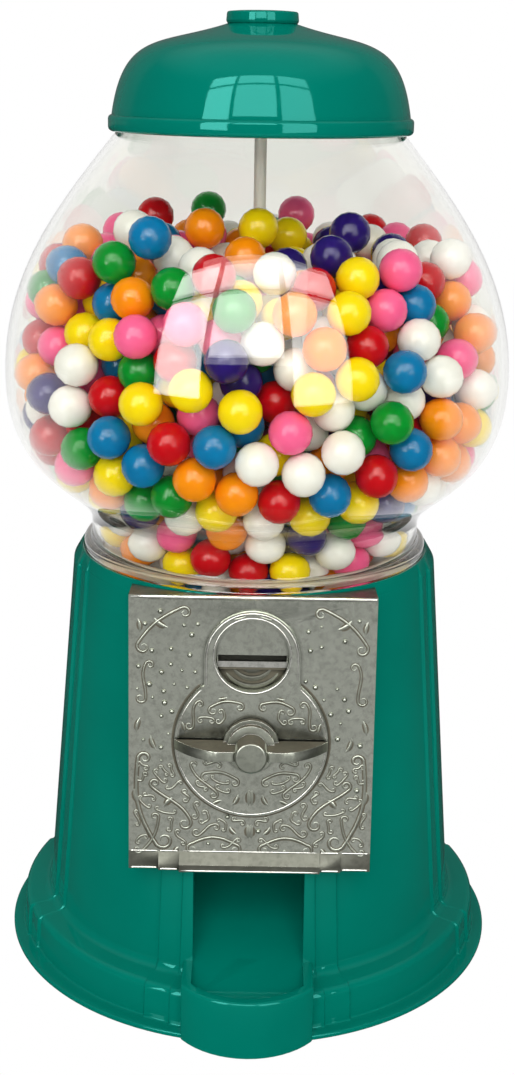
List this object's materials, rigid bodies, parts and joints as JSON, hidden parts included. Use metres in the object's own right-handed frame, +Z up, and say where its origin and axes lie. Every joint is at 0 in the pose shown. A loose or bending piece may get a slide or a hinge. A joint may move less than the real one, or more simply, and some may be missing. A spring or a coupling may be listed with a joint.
{
  "type": "gumball machine",
  "caption": "Coin-operated gumball machine: round enamelled base with chute and tray, metal coin plate with a turn handle, glass globe of gumballs and a lift-off lid.",
  "frame": {"origin": "bottom centre of the whole machine's box, on the surface that it stands on", "axes": "+Z up along the globe and rod, -Y is the front with the coin plate and tray, +X to the right seen from the front"},
  "size_m": [0.2074, 0.2164, 0.381],
  "materials": {
    "teal_enamel": "gloss enamel on a smooth casting",
    "clear_glass": "clear pressed glass",
    "cast_zinc": "die-cast zinc, dark in the hollows and worn bright on the edges",
    "plated_steel": "zinc plated",
    "bush_brass": "turned",
    "black_rubber": "matt",
    "moulded_plastic": "moulded acetal",
    "candy_white": "polished sugar shell",
    "candy_pink": "polished sugar shell",
    "candy_red": "polished sugar shell",
    "candy_orange": "polished sugar shell",
    "candy_yellow": "polished sugar shell",
    "candy_green": "polished sugar shell",
    "candy_blue": "polished sugar shell",
    "candy_purple": "polished sugar shell"
  },
  "bodies": {
    "base": {"base_housing": "teal_enamel", "chute": "teal_enamel", "globe": "clear_glass", "coin_plate": "cast_zinc", "mech_housing": "cast_zinc", "bottom_cover": "plated_steel", "centre_rod": "plated_steel", "rod_washer": "plated_steel", "rod_nut": "plated_steel", "ball_guard": "plated_steel", "guard_nut": "plated_steel", "cup_screws": "plated_steel", "plate_screws": "plated_steel", "mech_screws": "plated_steel", "pawl_pin": "plated_steel", "pawl_spring": "plated_steel", "shaft_bush": "bush_brass", "rubber_feet": "black_rubber", "globe_gasket": "black_rubber", "hopper": "moulded_plastic", "wheel_cup": "moulded_plastic", "gumballs_white": "candy_white", "gumballs_pink": "candy_pink", "gumballs_red": "candy_red", "gumballs_orange": "candy_orange", "gumballs_yellow": "candy_yellow", "gumballs_green": "candy_green", "gumballs_blue": "candy_blue", "gumballs_purple": "candy_purple"},
    "crank": {"handle": "cast_zinc", "handle_shaft": "plated_steel", "coin_carrier": "moulded_plastic", "ratchet_wheel": "plated_steel", "shaft_spacer": "plated_steel", "drive_pinion": "moulded_plastic", "shaft_clip": "plated_steel"},
    "wheel": {"ball_wheel": "moulded_plastic", "wheel_rim": "moulded_plastic", "wheel_crown": "moulded_plastic"},
    "lid": {"lid": "teal_enamel", "lid_gasket": "black_rubber"},
    "knob": {"lid_knob": "teal_enamel"},
    "pawl": {"ratchet_pawl": "plated_steel"}
  },
  "joints": [
    {"name": "handle_turn", "type": "hinge", "parent": "base", "child": "crank", "pos_m": [0, -0.07235, 0.115], "axis": [0, 0.9964, -0.0842], "continuous": true},
    {"name": "wheel_turn", "type": "hinge", "parent": "base", "child": "wheel", "pos_m": [0, 0.00455, 0.14], "axis": [0, 0, 1], "continuous": true},
    {"name": "pawl_swing", "type": "hinge", "parent": "base", "child": "pawl", "pos_m": [-0.022, -0.05514, 0.12258], "axis": [0, 0.9964, -0.0842], "range_deg": [0, 15], "stiffness_Nm_per_rad": 0.005, "springref_deg": -11.46},
    {"name": "lid_lift", "type": "slide", "parent": "base", "child": "lid", "axis": [0, 0, 1], "range_m": [0, 0.1]},
    {"name": "knob_turn", "type": "hinge", "parent": "lid", "child": "knob", "pos_m": [0, 0.00455, 0.379], "axis": [0, 0, 1], "continuous": true}
  ],
  "couplings": [
    {"joint": "wheel_turn", "follows": "handle_turn", "ratio": 0.33333}
  ]
}
